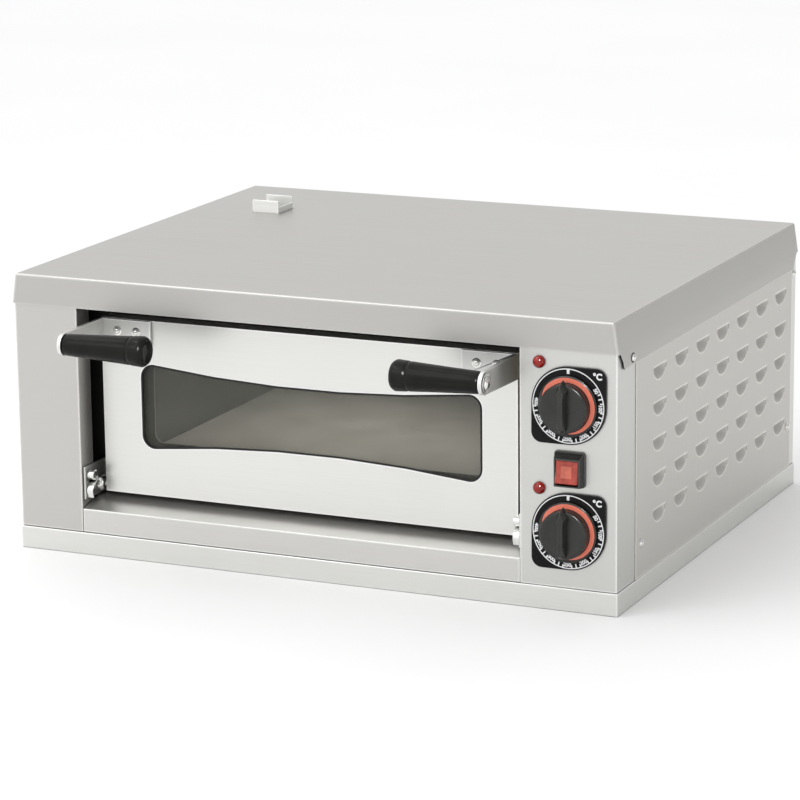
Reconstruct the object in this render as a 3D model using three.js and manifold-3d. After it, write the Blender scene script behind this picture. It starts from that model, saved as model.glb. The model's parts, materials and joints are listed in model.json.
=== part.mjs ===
// Countertop pizza oven: a folded stainless-steel case round an insulated baking chamber,
// with a drop-down glazed door, two thermostat knobs, two pilot lamps and a rocker switch.
// Millimetres. X is the width (right positive), -Y is the front, +Z is up.
// The origin is the centre of the base's underside.

import * as THREE from 'three';
import { mergeVertices } from 'three/addons/utils/BufferGeometryUtils.js';
import Module from 'manifold-3d';

const wasm = await Module();
wasm.setup();

// ---------------------------------------------------------------- driving dimensions
const WIDTH = 570;
const DEPTH = 470;
const HEIGHT = 250;
const SHEET = 1.5; // case sheet
const THIN = 0.9; // cover sheet
const GAP = 0.3; // clearance between touching pieces

const HALF_WIDTH = WIDTH / 2;
const HALF_DEPTH = DEPTH / 2;
const BASE_HEIGHT = 20;
const FRONT_FACE = -HALF_DEPTH + 1.5; // outer face of the front panels
const SIDE_FACE = HALF_WIDTH - 1.1; // outer face of the side panels
const PANEL_BOTTOM = BASE_HEIGHT + GAP;
const PANEL_TOP = 224.5;

const COVER_FRONT_DROP = 27; // how far the cover's front flange hangs down
const COVER_SIDE_DROP = 42;
const COVER_LEAN = 4; // the flanges lean in towards the top by this much

const DOOR_LEFT = -210;
const DOOR_RIGHT = 185.5;
const DOOR_BOTTOM = 53.5;
const DOOR_TOP = 211.5;
const DOOR_FACE = -210; // y of the door's front face
const DOOR_THICKNESS = 17;
const DOOR_SHEET = 1.2;
const JAMB = 11.5; // gap between the door and each jamb
const LEFT_JAMB = DOOR_LEFT - JAMB;
const RIGHT_JAMB = DOOR_RIGHT + JAMB;
const JAMB_DEPTH = 22;

const HINGE_Y = -204;
const HINGE_Z = 58.5;
const HINGE_PIN_RADIUS = 2.5;

const WINDOW = { x: -9.5, z: 134.2, halfWidth: 162.5, halfEnd: 38, halfMiddle: 29, corner: 12 };

const GRIP = { y: -279, z: 201, length: 80, smallRadius: 9.5, largeRadius: 13.5 };
const BRACKET_SHEET = 3;

const CHAMBER = { left: -219, right: 188, front: -188.7, back: 205, floor: 42.2, roof: 204 };
const LINER_SHEET = 1.2;
const MOUTH = { left: -203, right: 178, bottom: 62, top: 203 };
const BULKHEAD_Y = -190.5;
const STONE_TOP = 70;
const STONE_THICKNESS = 10;

const VENT = { left: -217.5, right: -190.1, front: 103.5, back: 134.5, rise: 12, sideRise: 6 };

const DIAL_X = 241;
const DIAL_RADIUS = 33;
const UPPER_DIAL_Z = 177;
const LOWER_DIAL_Z = 69.5;
const LAMP_OFFSET = { x: -26.5, z: 35 }; // from a dial's centre to its pilot lamp
const KNOB_RADIUS = 26;
const KNOB_HEIGHT = 19;
const SPINDLE_RADIUS = 3;
const SWITCH = { x: 242, z: 123.2, width: 27.3, height: 30.4 };
const ROCKER_TILT = THREE.MathUtils.degToRad(11);
const COLLAR_RISE = 8.5; // how far the switch's collar stands out of the panel
const COLLAR_DROP = 2.1; // the collar's mouth and the rocker sit this far below the switch's middle

const LOUVRE = { halfWidth: 16, height: 12, depth: 6.5, sheet: 1.1 };

const ELEMENT_RADIUS = 3.5;
const UPPER_ELEMENT_Z = 190;
const LOWER_ELEMENT_Z = 51;
const ELEMENT_RUN_SPACING = 80;

const SHIELD_X = 209.5; // sheet that keeps the heat off the controls
const GLAND = { x: 246, z: 46, bore: 4.5, radius: 9 };

// ---------------------------------------------------------------- materials
const FINISHES = {
  steel: { color: 0xd2d2cd, roughness: 0.35, metalness: 0.9 },
  brightSteel: { color: 0xe4e4e0, roughness: 0.22, metalness: 1 },
  aluminisedSteel: { color: 0x8f918c, roughness: 0.5, metalness: 0.85 },
  stone: { color: 0xb9ae98, roughness: 0.95, metalness: 0 },
  elementSheath: { color: 0x5b5f5a, roughness: 0.5, metalness: 0.8 },
  wool: { color: 0xe6dfc6, roughness: 1, metalness: 0 },
  blackPlastic: { color: 0x2c2b28, roughness: 0.45, metalness: 0 },
  rubber: { color: 0x1f1f1d, roughness: 0.8, metalness: 0 },
  glass: { color: 0x7d8078, roughness: 0.05, metalness: 0 },
  redLens: { color: 0xb4301c, roughness: 0.2, metalness: 0 },
  palePlastic: { color: 0xd9d6c8, roughness: 0.6, metalness: 0 },
};

// ---------------------------------------------------------------- solid helpers
function solidOf(geometry) {
  const bare = geometry.clone();
  bare.deleteAttribute('normal');
  bare.deleteAttribute('uv');
  const merged = mergeVertices(bare, 1e-4);
  return new wasm.Manifold(new wasm.Mesh({
    numProp: 3,
    vertProperties: new Float32Array(merged.attributes.position.array),
    triVerts: new Uint32Array(merged.index.array),
  }));
}

function geometryOf(solid) {
  const mesh = solid.getMesh();
  const geometry = new THREE.BufferGeometry();
  geometry.setAttribute('position', new THREE.BufferAttribute(mesh.vertProperties, 3));
  geometry.setIndex(new THREE.BufferAttribute(mesh.triVerts, 1));
  geometry.computeVertexNormals();
  return geometry;
}

function cut(body, ...tools) {
  return geometryOf(tools.reduce((solid, tool) => solid.subtract(solidOf(tool)), solidOf(body)));
}

function join(...pieces) {
  const [first, ...rest] = pieces.map(solidOf);
  return geometryOf(rest.reduce((solid, piece) => solid.add(piece), first));
}

// Box between two corners.
function box([x0, x1], [y0, y1], [z0, z1]) {
  const geometry = new THREE.BoxGeometry(x1 - x0, y1 - y0, z1 - z0);
  return geometry.translate((x0 + x1) / 2, (y0 + y1) / 2, (z0 + z1) / 2);
}

// Box along Y whose width and height change from one end to the other; its front is shifted in z.
function taperedBox([frontWidth, frontHeight], [backWidth, backHeight], [y0, y1], frontZ) {
  const geometry = new THREE.BoxGeometry(1, y1 - y0, 1);
  const position = geometry.attributes.position;
  for (let i = 0; i < position.count; i += 1) {
    const front = position.getY(i) < 0;
    const width = front ? frontWidth : backWidth;
    const height = front ? frontHeight : backHeight;
    const z = position.getZ(i) * height + (front ? frontZ : 0);
    position.setXYZ(i, position.getX(i) * width, position.getY(i), z);
  }
  return geometry.translate(0, (y0 + y1) / 2, 0);
}

// Solid of revolution about the X axis: the profile is [[x, radius], ...] and closes on the axis.
function turnedAlongX(profile, sides) {
  const points = profile.map(([along, radius]) => new THREE.Vector2(radius, along));
  return new THREE.LatheGeometry(points, sides).rotateZ(-Math.PI / 2);
}

// The same about the Y axis: the profile is [[y, radius], ...], from low y to high y.
function turnedAlongY(profile, sides) {
  const points = profile.map(([along, radius]) => new THREE.Vector2(radius, along));
  return new THREE.LatheGeometry(points, sides);
}

function rodAlongX(radius, [x0, x1], y, z, sides = 24) {
  return turnedAlongX([[x0, 0], [x0, radius], [x1, radius], [x1, 0]], sides).translate(0, y, z);
}

function rodAlongY(radius, [y0, y1], x, z, sides = 24) {
  return turnedAlongY([[y0, 0], [y0, radius], [y1, radius], [y1, 0]], sides).translate(x, 0, z);
}

// Extrudes an outline drawn in (y, z) along X.
function extrudeAlongX(shape, [x0, x1]) {
  const geometry = new THREE.ExtrudeGeometry(shape, {
    depth: x1 - x0,
    bevelEnabled: false,
    curveSegments: 8,
  });
  return geometry.rotateX(Math.PI / 2).rotateZ(Math.PI / 2).translate(x0, 0, 0);
}

// Extrudes an outline drawn in (x, z) along Y.
function extrudeAlongY(shape, [y0, y1], curveSegments = 8) {
  const geometry = new THREE.ExtrudeGeometry(shape, {
    depth: y1 - y0,
    bevelEnabled: false,
    curveSegments,
  });
  return geometry.rotateX(Math.PI / 2).translate(0, y1, 0);
}

function outline(points) {
  return new THREE.Shape(points.map(([a, b]) => new THREE.Vector2(a, b)));
}

function roundedRectangle(left, right, bottom, top, radius) {
  const shape = new THREE.Shape();
  shape.moveTo(left + radius, bottom);
  shape.lineTo(right - radius, bottom);
  shape.absarc(right - radius, bottom + radius, radius, -Math.PI / 2, 0);
  shape.lineTo(right, top - radius);
  shape.absarc(right - radius, top - radius, radius, 0, Math.PI / 2);
  shape.lineTo(left + radius, top);
  shape.absarc(left + radius, top - radius, radius, Math.PI / 2, Math.PI);
  shape.lineTo(left, bottom + radius);
  shape.absarc(left + radius, bottom + radius, radius, Math.PI, Math.PI * 1.5);
  return shape;
}

// The mirror image of a geometry across the plane x = 0.
function mirrored(geometry) {
  const copy = geometry.clone().scale(-1, 1, 1);
  const flat = copy.index ? copy.toNonIndexed() : copy;
  const position = flat.attributes.position;
  const a = new THREE.Vector3();
  const b = new THREE.Vector3();
  for (let i = 0; i < position.count; i += 3) {
    a.fromBufferAttribute(position, i + 1);
    b.fromBufferAttribute(position, i + 2);
    position.setXYZ(i + 1, b.x, b.y, b.z);
    position.setXYZ(i + 2, a.x, a.y, a.z);
  }
  flat.deleteAttribute('normal');
  flat.deleteAttribute('uv');
  const merged = mergeVertices(flat, 1e-4);
  merged.computeVertexNormals();
  return merged;
}

function add(group, name, geometry, finish) {
  const mesh = new THREE.Mesh(geometry, new THREE.MeshStandardMaterial(FINISHES[finish]));
  mesh.name = name;
  group.add(mesh);
  return mesh;
}

const oven = new THREE.Group();

// ---------------------------------------------------------------- case
// Screw through the cover's front corner into the control panel's side.
const COVER_SCREW = { y: -202, z: 214.5, radius: 1.7 };

function makeCoverScrew() {
  const face = HALF_WIDTH;
  const { y, z, radius } = COVER_SCREW;
  const profile = [
    [face - 8, 0],
    [face - 8, radius],
    [face + GAP, radius],
    [face + GAP, 4.2],
    [face + 0.7, 4.2],
    [face + 1.1, 3.3],
    [face + 2, 2.2],
    [face + 2.4, 0.8],
    [face + 2.4, 0],
  ];
  return turnedAlongX(profile, 24).translate(0, y, z);
}

function coverScrewHole() {
  const { y, z, radius } = COVER_SCREW;
  return rodAlongX(radius + 0.4, [HALF_WIDTH - 10, HALF_WIDTH + 2], y, z, 16);
}

function makeBaseTray() {
  const x = HALF_WIDTH - 0.8;
  const y = HALF_DEPTH - 0.6;
  const lip = 8; // width of the inward flange that the panels stand on
  const body = box([-x, x], [-y, y], [0, BASE_HEIGHT]);
  const hollow = box([-x + SHEET, x - SHEET], [-y + SHEET, y - SHEET], [SHEET, BASE_HEIGHT - SHEET]);
  const mouth = box([-x + lip, x - lip], [-y + lip, y - lip], [BASE_HEIGHT / 2, BASE_HEIGHT + 1]);
  return cut(body, hollow, mouth);
}

function makeTopCover() {
  const top = HALF_WIDTH - COVER_LEAN;
  const sideEdge = HEIGHT - COVER_SIDE_DROP;
  const bend = HEIGHT - COVER_FRONT_DROP;
  const section = (x, xTop, zLow, zTop) => outline(
    [[-x, zLow], [x, zLow], [x, bend], [xTop, zTop], [-xTop, zTop], [-x, bend]],
  );
  const shell = extrudeAlongY(section(HALF_WIDTH, top, sideEdge, HEIGHT), [-HALF_DEPTH, HALF_DEPTH]);
  const inside = extrudeAlongY(
    section(HALF_WIDTH - THIN, top - THIN, sideEdge - 1, HEIGHT - THIN),
    [-HALF_DEPTH + THIN, HALF_DEPTH - THIN],
  );
  // Below the front and back flanges the side flanges start behind a slanted corner.
  const cornerCut = (sign) => extrudeAlongX(
    outline([
      [sign * (HALF_DEPTH + 1), bend],
      [sign * (HALF_DEPTH + 1), sideEdge - 1],
      [sign * (HALF_DEPTH - 15), sideEdge - 1],
      [sign * (HALF_DEPTH - 13), sideEdge + 1.5],
      [sign * (HALF_DEPTH - 11), sideEdge + 4],
      [sign * (HALF_DEPTH - 4.7), bend],
    ]),
    [-HALF_WIDTH - 1, HALF_WIDTH + 1],
  );
  const ventHole = box(
    [VENT.left - 1, VENT.right + 1],
    [VENT.front - 1, VENT.back + 1],
    [HEIGHT - 5, HEIGHT + 5],
  );
  return cut(shell, inside, cornerCut(1), cornerCut(-1), ventHole, coverScrewHole());
}

// Lower quarter of an ellipsoid, centred on the outer face of the side panel.
function louvreDome(halfWidth, height, depth) {
  const dome = new THREE.SphereGeometry(1, 8, 4).rotateX(Math.PI / 2).scale(depth, halfWidth, height);
  return cut(dome, box([-20, 20], [-20, 20], [0, 20]));
}

function makeRightSidePanel() {
  const columns = 7;
  const rows = 5;
  const columnPitch = 53.7;
  const rowPitch = 31;
  const firstColumn = -134.5;
  const firstRow = 70;
  const { halfWidth, height, depth, sheet } = LOUVRE;
  const dish = cut(louvreDome(halfWidth, height, depth), box([0, 20], [-20, 20], [-20, 20]));
  const hollow = louvreDome(halfWidth - sheet, height - sheet, depth - sheet);
  const dishes = [];
  const hollows = [];
  for (let column = 0; column < columns; column += 1) {
    for (let row = 0; row < rows; row += 1) {
      const y = firstColumn + column * columnPitch;
      const z = firstRow + row * rowPitch;
      dishes.push(dish.clone().translate(SIDE_FACE, y, z));
      hollows.push(hollow.clone().translate(SIDE_FACE, y, z));
    }
  }
  return cut(join(makeSidePanelSheet(), ...dishes), ...hollows);
}

const SIDE_PANEL_Y = [-191, 221];

function makeSidePanelSheet() {
  return box([SIDE_FACE - SHEET, SIDE_FACE], SIDE_PANEL_Y, [PANEL_BOTTOM, 211.5]);
}

// A front panel in plan: a return along the case's side, the front face and a return at the door.
function frontPanelPlan(outerX, jambX) {
  const inward = Math.sign(jambX - outerX);
  const back = SIDE_PANEL_Y[0] - 0.5;
  return outline([
    [outerX, FRONT_FACE],
    [jambX, FRONT_FACE],
    [jambX, FRONT_FACE + JAMB_DEPTH],
    [jambX - inward * SHEET, FRONT_FACE + JAMB_DEPTH],
    [jambX - inward * SHEET, FRONT_FACE + SHEET],
    [outerX + inward * SHEET, FRONT_FACE + SHEET],
    [outerX + inward * SHEET, back],
    [outerX, back],
  ]);
}

function extrudePlan(shape) {
  const depth = PANEL_TOP - PANEL_BOTTOM;
  return new THREE.ExtrudeGeometry(shape, { depth, bevelEnabled: false }).translate(0, 0, PANEL_BOTTOM);
}

function lampPosition(dialZ) {
  return [DIAL_X + LAMP_OFFSET.x, dialZ + LAMP_OFFSET.z];
}

function makeControlPanel() {
  const through = [FRONT_FACE - 2, FRONT_FACE + 4];
  const holes = [];
  for (const dialZ of [UPPER_DIAL_Z, LOWER_DIAL_Z]) {
    const [lampX, lampZ] = lampPosition(dialZ);
    holes.push(rodAlongY(6, through, DIAL_X, dialZ));
    holes.push(rodAlongY(4.4, through, lampX, lampZ, 16));
  }
  holes.push(box([SWITCH.x - 12, SWITCH.x + 12], through, [SWITCH.z - 14, SWITCH.z + 14]));
  const plan = frontPanelPlan(SIDE_FACE - 0.7, RIGHT_JAMB);
  return cut(extrudePlan(plan), ...holes, coverScrewHole());
}

function makeBackPanel() {
  const x = SIDE_FACE - 0.7;
  const face = -FRONT_FACE;
  const wrap = SIDE_PANEL_Y[1] + 0.5;
  const plan = outline([
    [-x, wrap],
    [-x + SHEET, wrap],
    [-x + SHEET, face - SHEET],
    [x - SHEET, face - SHEET],
    [x - SHEET, wrap],
    [x, wrap],
    [x, face],
    [-x, face],
  ]);
  const glandHole = rodAlongY(GLAND.radius - 2, [face - 4, face + 2], GLAND.x, GLAND.z);
  return cut(extrudePlan(plan), glandHole);
}

function makeDoorSill() {
  const slopeEnd = -206;
  const back = BULKHEAD_Y - 0.5;
  const low = 41.5;
  const high = 48;
  const profile = outline([
    [FRONT_FACE, PANEL_BOTTOM],
    [FRONT_FACE, low],
    [slopeEnd, high],
    [back, high],
    [back, high - SHEET],
    [slopeEnd + 0.2, high - SHEET],
    [FRONT_FACE + SHEET, low - 1.2],
    [FRONT_FACE + SHEET, PANEL_BOTTOM],
  ]);
  return extrudeAlongX(profile, [LEFT_JAMB + GAP, RIGHT_JAMB - GAP]);
}

function makeVentDuct() {
  const { left, right, front, back } = VENT;
  const foot = CHAMBER.roof + LINER_SHEET + GAP;
  const wall = 1.2;
  const tube = box([left, right], [front, back], [foot, HEIGHT + VENT.rise]);
  const bore = box([left + wall, right - wall], [front + wall, back - wall], [foot - 1, HEIGHT + 20]);
  const sideNotch = box(
    [left - 1, right + 1],
    [front + wall, back - wall],
    [HEIGHT + VENT.sideRise, HEIGHT + 20],
  );
  return cut(tube, bore, sideNotch);
}

function makeCase() {
  add(oven, 'base_tray', makeBaseTray(), 'steel');
  add(oven, 'top_cover', makeTopCover(), 'steel');
  add(oven, 'cover_screw', makeCoverScrew(), 'brightSteel');
  add(oven, 'right_side_panel', makeRightSidePanel(), 'steel');
  add(oven, 'left_side_panel', mirrored(makeSidePanelSheet()), 'steel');
  add(oven, 'left_front_panel', extrudePlan(frontPanelPlan(-SIDE_FACE + 0.7, LEFT_JAMB)), 'steel');
  add(oven, 'control_panel', makeControlPanel(), 'steel');
  add(oven, 'back_panel', makeBackPanel(), 'steel');
  add(oven, 'door_sill', makeDoorSill(), 'steel');
  add(oven, 'vent_duct', makeVentDuct(), 'brightSteel');
}

// ---------------------------------------------------------------- baking chamber
function elementHoles(x0, x1, radius) {
  const holes = [];
  for (const z of [UPPER_ELEMENT_Z, LOWER_ELEMENT_Z]) {
    for (const side of [-1, 1]) {
      holes.push(rodAlongX(radius, [x0, x1], side * 1.5 * ELEMENT_RUN_SPACING, z, 16));
    }
  }
  return holes;
}

function makeChamberLiner() {
  const { left, right, front, back, floor, roof } = CHAMBER;
  const t = LINER_SHEET;
  const body = box([left - t, right + t], [front, back + t], [floor - t, roof + t]);
  const hollow = box([left, right], [front - 1, back], [floor, roof]);
  const flueHole = box(
    [VENT.left + t, VENT.right - t],
    [VENT.front + t, VENT.back - t],
    [roof - 1, roof + t + 1],
  );
  return cut(body, hollow, flueHole, ...elementHoles(right - 2, right + 4, 4.2));
}

function makeChamberFrontFrame() {
  const plate = box([-279, 192], [BULKHEAD_Y, BULKHEAD_Y + SHEET], [PANEL_BOTTOM, 246]);
  const mouth = extrudeAlongY(
    roundedRectangle(MOUTH.left, MOUTH.right, MOUTH.bottom, MOUTH.top, 6),
    [BULKHEAD_Y - 2, BULKHEAD_Y + 4],
    3,
  );
  return cut(plate, mouth);
}

function makeBakingStone() {
  const shape = roundedRectangle(-214, 183, -186, 200, 10);
  const bottom = STONE_TOP - STONE_THICKNESS;
  const slab = new THREE.ExtrudeGeometry(shape, {
    depth: STONE_THICKNESS,
    bevelEnabled: false,
    curveSegments: 3,
  });
  return slab.translate(0, 0, bottom);
}

function makeStoneRail() {
  const underside = STONE_TOP - STONE_THICKNESS - GAP;
  const wall = -CHAMBER.left - GAP;
  const foot = box([wall - 15, wall], [-180, 195], [underside - 2, underside]);
  const web = box([wall - SHEET, wall], [-180, 195], [underside - 1, underside + 6]);
  return join(foot, web);
}

// A sheathed heating rod bent into four runs, with both ends out through the right wall.
function makeElement(z) {
  const radius = ELEMENT_RUN_SPACING / 2;
  const farTurn = -160;
  const nearTurn = 130;
  const end = SHIELD_X + 14;
  const path = new THREE.CurvePath();
  const at = (x, y) => new THREE.Vector3(x, y, z);
  const runs = [-1.5, -0.5, 0.5, 1.5].map((step) => step * ELEMENT_RUN_SPACING);
  const turn = (x, y, bulge) => new THREE.CatmullRomCurve3([0, 1, 2, 3, 4, 5, 6].map((step) => {
    const angle = -Math.PI / 2 + (step * Math.PI) / 6;
    return at(x + bulge * radius * Math.cos(angle), y + radius * Math.sin(angle));
  }));
  path.add(new THREE.LineCurve3(at(end, runs[0]), at(farTurn, runs[0])));
  path.add(turn(farTurn, runs[0] + radius, -1));
  path.add(new THREE.LineCurve3(at(farTurn, runs[1]), at(nearTurn, runs[1])));
  path.add(turn(nearTurn, runs[1] + radius, 1));
  path.add(new THREE.LineCurve3(at(nearTurn, runs[2]), at(farTurn, runs[2])));
  path.add(turn(farTurn, runs[2] + radius, -1));
  path.add(new THREE.LineCurve3(at(farTurn, runs[3]), at(end, runs[3])));
  const section = new THREE.Shape();
  section.absarc(0, 0, ELEMENT_RADIUS, 0, Math.PI * 2);
  return new THREE.ExtrudeGeometry(section, {
    steps: 60,
    extrudePath: path,
    curveSegments: 3,
    bevelEnabled: false,
  });
}

// A slotted strip standing across the chamber that carries the element's four runs.
function makeElementRack(x, z, [low, high]) {
  const strip = box([x, x + 1.2], [-140, 140], [low, high]);
  const holes = [-1.5, -0.5, 0.5, 1.5].map(
    (step) => rodAlongX(ELEMENT_RADIUS + 0.5, [x - 2, x + 4], step * ELEMENT_RUN_SPACING, z, 12),
  );
  return cut(strip, ...holes);
}

function makeChamber() {
  add(oven, 'chamber_liner', makeChamberLiner(), 'aluminisedSteel');
  add(oven, 'chamber_front_frame', makeChamberFrontFrame(), 'aluminisedSteel');
  add(oven, 'baking_stone', makeBakingStone(), 'stone');
  const rail = makeStoneRail();
  const railRight = add(oven, 'stone_rail_right', rail, 'aluminisedSteel');
  railRight.position.x = CHAMBER.right + CHAMBER.left;
  add(oven, 'stone_rail_left', mirrored(rail), 'aluminisedSteel');
  add(oven, 'upper_element', makeElement(UPPER_ELEMENT_Z), 'elementSheath');
  add(oven, 'lower_element', makeElement(LOWER_ELEMENT_Z), 'elementSheath');
  const upperRack = makeElementRack(-15, UPPER_ELEMENT_Z, [184, CHAMBER.roof - GAP]);
  const lowerRack = makeElementRack(-15, LOWER_ELEMENT_Z, [CHAMBER.floor + GAP, 57]);
  add(oven, 'upper_element_rack', upperRack, 'aluminisedSteel');
  add(oven, 'lower_element_rack', lowerRack, 'aluminisedSteel');
}

// ---------------------------------------------------------------- insulation
function makeInsulation() {
  const { left, right, front, back, floor, roof } = CHAMBER;
  const outerLeft = -278;
  const outerRight = SHIELD_X - 1;
  const clear = LINER_SHEET + 0.8;
  const rear = -FRONT_FACE - SHEET - 1;
  const underTop = HEIGHT - THIN - 1.5;
  const duct = box([VENT.left - 1, VENT.right + 1], [VENT.front - 1, VENT.back + 1], [roof, HEIGHT]);
  const depth = [front + 1, back];
  const sides = [floor, roof];
  const topSlab = box([outerLeft, outerRight], depth, [roof + clear, underTop]);
  const bottomSlab = box([-275, outerRight], [front + 1, rear - 8], [SHEET + 0.5, floor - clear]);
  const backSlab = box([outerLeft, outerRight], [back + clear, rear], [floor, underTop]);
  add(oven, 'insulation_top', cut(topSlab, duct), 'wool');
  add(oven, 'insulation_bottom', bottomSlab, 'wool');
  add(oven, 'insulation_left', box([outerLeft, left - clear], depth, sides), 'wool');
  const rightSlab = box([right + clear, outerRight], depth, sides);
  add(oven, 'insulation_right', cut(rightSlab, ...elementHoles(right, outerRight + 2, 5)), 'wool');
  add(oven, 'insulation_back', backSlab, 'wool');
  const shield = box([SHIELD_X, SHIELD_X + THIN], [front, rear], [PANEL_BOTTOM, 246]);
  const shieldHoles = elementHoles(SHIELD_X - 2, SHIELD_X + 3, 5);
  add(oven, 'control_heat_shield', cut(shield, ...shieldHoles), 'aluminisedSteel');
}

// ---------------------------------------------------------------- controls
// A black dial plate: round, with its upper right and lower left corners squared off.
function makeDialPlate() {
  const r = DIAL_RADIUS;
  const corner = 9;
  const shape = new THREE.Shape();
  shape.moveTo(r, 0);
  shape.lineTo(r, r - corner);
  shape.absarc(r - corner, r - corner, corner, 0, Math.PI / 2);
  shape.lineTo(0, r);
  shape.absarc(0, 0, r, Math.PI / 2, Math.PI);
  shape.lineTo(-r, -r + corner);
  shape.absarc(-r + corner, -r + corner, corner, Math.PI, Math.PI * 1.5);
  shape.lineTo(0, -r);
  shape.absarc(0, 0, r, -Math.PI / 2, 0);
  const plate = extrudeAlongY(shape, [FRONT_FACE - GAP - 2.2, FRONT_FACE - GAP], 7);
  return cut(plate, rodAlongY(6, [FRONT_FACE - 5, FRONT_FACE + 2], 0, 0));
}

const DIAL_FRONT = FRONT_FACE - GAP - 2.2;

function makeKnob() {
  const back = DIAL_FRONT - 0.5;
  const front = back - KNOB_HEIGHT;
  const skirt = turnedAlongY(
    [
      [back - 12.5, 0],
      [back - 12.5, 20.3],
      [back - 11.7, 21.1],
      [back - 2.8, 20.2],
      [back - 2.4, KNOB_RADIUS - 0.4],
      [back, KNOB_RADIUS],
      [back, 0],
    ],
    32,
  );
  const bar = extrudeAlongY(
    outline([[-4.2, -20], [4.2, -20], [4.2, 10], [5.6, 16.5], [0, 24.5], [-5.6, 16.5], [-4.2, 10]]),
    [front, back - 6],
  );
  const bore = rodAlongY(SPINDLE_RADIUS + GAP, [back - 13, back + 1], 0, 0);
  return cut(join(skirt, bar), bore);
}

function makeSpindle() {
  return rodAlongY(SPINDLE_RADIUS, [DIAL_FRONT - 13, FRONT_FACE + 26], 0, 0);
}

function makeThermostatBody() {
  const face = FRONT_FACE + SHEET + GAP;
  const block = box([-18, 18], [face, face + 30], [-18, 18]);
  const nose = rodAlongY(5.6, [FRONT_FACE - 1.5, face + 1], 0, 0);
  const bore = rodAlongY(SPINDLE_RADIUS + 0.1, [FRONT_FACE - 4, FRONT_FACE + 27], 0, 0);
  return cut(join(block, nose), bore);
}

function makeLampLens() {
  const face = FRONT_FACE - GAP;
  return turnedAlongY(
    [
      [face - 5, 0],
      [face - 4.6, 2.2],
      [face - 3.4, 4.1],
      [face - 1.6, 5.2],
      [face, 5.5],
      [face, 4],
      [face + 9, 4],
      [face + 9, 0],
    ],
    20,
  );
}

function makeLampBody() {
  const face = FRONT_FACE + SHEET + GAP;
  return turnedAlongY(
    [
      [face, 4.3],
      [face, 6.5],
      [face + 20, 6.5],
      [face + 20, 0],
      [face + 10, 0],
      [face + 10, 4.3],
      [face, 4.3],
    ],
    16,
  );
}

function addThermostat(prefix, dialZ) {
  const station = new THREE.Group();
  station.position.set(DIAL_X, 0, dialZ);
  oven.add(station);
  add(station, `${prefix}_thermostat_body`, makeThermostatBody(), 'palePlastic');
  add(station, `${prefix}_dial_plate`, makeDialPlate(), 'blackPlastic');
  add(station, `${prefix}_spindle`, makeSpindle(), 'brightSteel');
  add(station, `${prefix}_knob`, makeKnob(), 'blackPlastic');
  const lamp = new THREE.Group();
  lamp.position.set(LAMP_OFFSET.x, 0, LAMP_OFFSET.z);
  station.add(lamp);
  add(lamp, `${prefix}_lamp_lens`, makeLampLens(), 'redLens');
  add(lamp, `${prefix}_lamp_body`, makeLampBody(), 'palePlastic');
}

const ROCKER_PIVOT_Y = FRONT_FACE - 3.7;

function makeSwitchHousing() {
  const w = SWITCH.width / 2;
  const h = SWITCH.height / 2;
  const face = FRONT_FACE - GAP;
  const flange = extrudeAlongY(roundedRectangle(-w, w, -h, h, 2.5), [face - 1.4, face], 3);
  const mouthY = [face - COLLAR_RISE, face - 0.7];
  const collar = taperedBox([22.8, 23.8], [26.2, 29], mouthY, -COLLAR_DROP);
  const body = box([-11.7, 11.7], [face - 1, face + 24], [-13.7, 13.7]);
  const recess = box(
    [-10.2, 10.2],
    [face - 10, ROCKER_PIVOT_Y + 7],
    [-COLLAR_DROP - 10.9, -COLLAR_DROP + 10.9],
  );
  return cut(join(flange, collar, body), recess);
}

function makeRocker() {
  const profile = outline([
    [-6.2, -9.3],
    [-5.2, 0],
    [-6.2, 9.3],
    [-4.6, 10],
    [4, 8],
    [4, -8],
    [-4.6, -10],
  ]);
  return extrudeAlongX(profile, [-9.9, 9.9]);
}

function makeControls() {
  addThermostat('upper', UPPER_DIAL_Z);
  addThermostat('lower', LOWER_DIAL_Z);
  const housing = add(oven, 'switch_housing', makeSwitchHousing(), 'blackPlastic');
  housing.position.set(SWITCH.x, 0, SWITCH.z);
  const rocker = add(oven, 'switch_rocker', makeRocker(), 'redLens');
  rocker.position.set(SWITCH.x, ROCKER_PIVOT_Y, SWITCH.z - COLLAR_DROP);
  rocker.rotation.x = -ROCKER_TILT;
  const inner = -FRONT_FACE - SHEET;
  const { radius, bore } = GLAND;
  const gland = turnedAlongY(
    [
      [inner - 4, bore],
      [inner - 4, radius + 2],
      [inner - GAP, radius + 2],
      [inner - GAP, radius - 2.4],
      [inner + SHEET + GAP, radius - 2.4],
      [inner + SHEET + GAP, radius + 2],
      [inner + 6, radius + 2],
      [inner + 12, radius - 1],
      [inner + 14, bore + 1.5],
      [inner + 14, bore],
      [inner - 4, bore],
    ],
    16,
  );
  const glandMesh = add(oven, 'cable_gland', gland, 'blackPlastic');
  glandMesh.position.set(GLAND.x, 0, GLAND.z);
}

// ---------------------------------------------------------------- door hinges
// A ribbon of constant thickness that follows a smooth line of (y, z) points.
function ribbon(points, thickness) {
  const curve = new THREE.CatmullRomCurve3(points.map(([y, z]) => new THREE.Vector3(y, z, 0)));
  const count = 30;
  const near = [];
  const far = [];
  for (let i = 0; i <= count; i += 1) {
    const p = curve.getPoint(i / count);
    const t = curve.getTangent(i / count);
    near.push([p.x - (t.y * thickness) / 2, p.y + (t.x * thickness) / 2]);
    far.unshift([p.x + (t.y * thickness) / 2, p.y - (t.x * thickness) / 2]);
  }
  return outline([...near, ...far]);
}

const SPRING_EYE = { y: -224, z: 71, radius: 4 };

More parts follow.
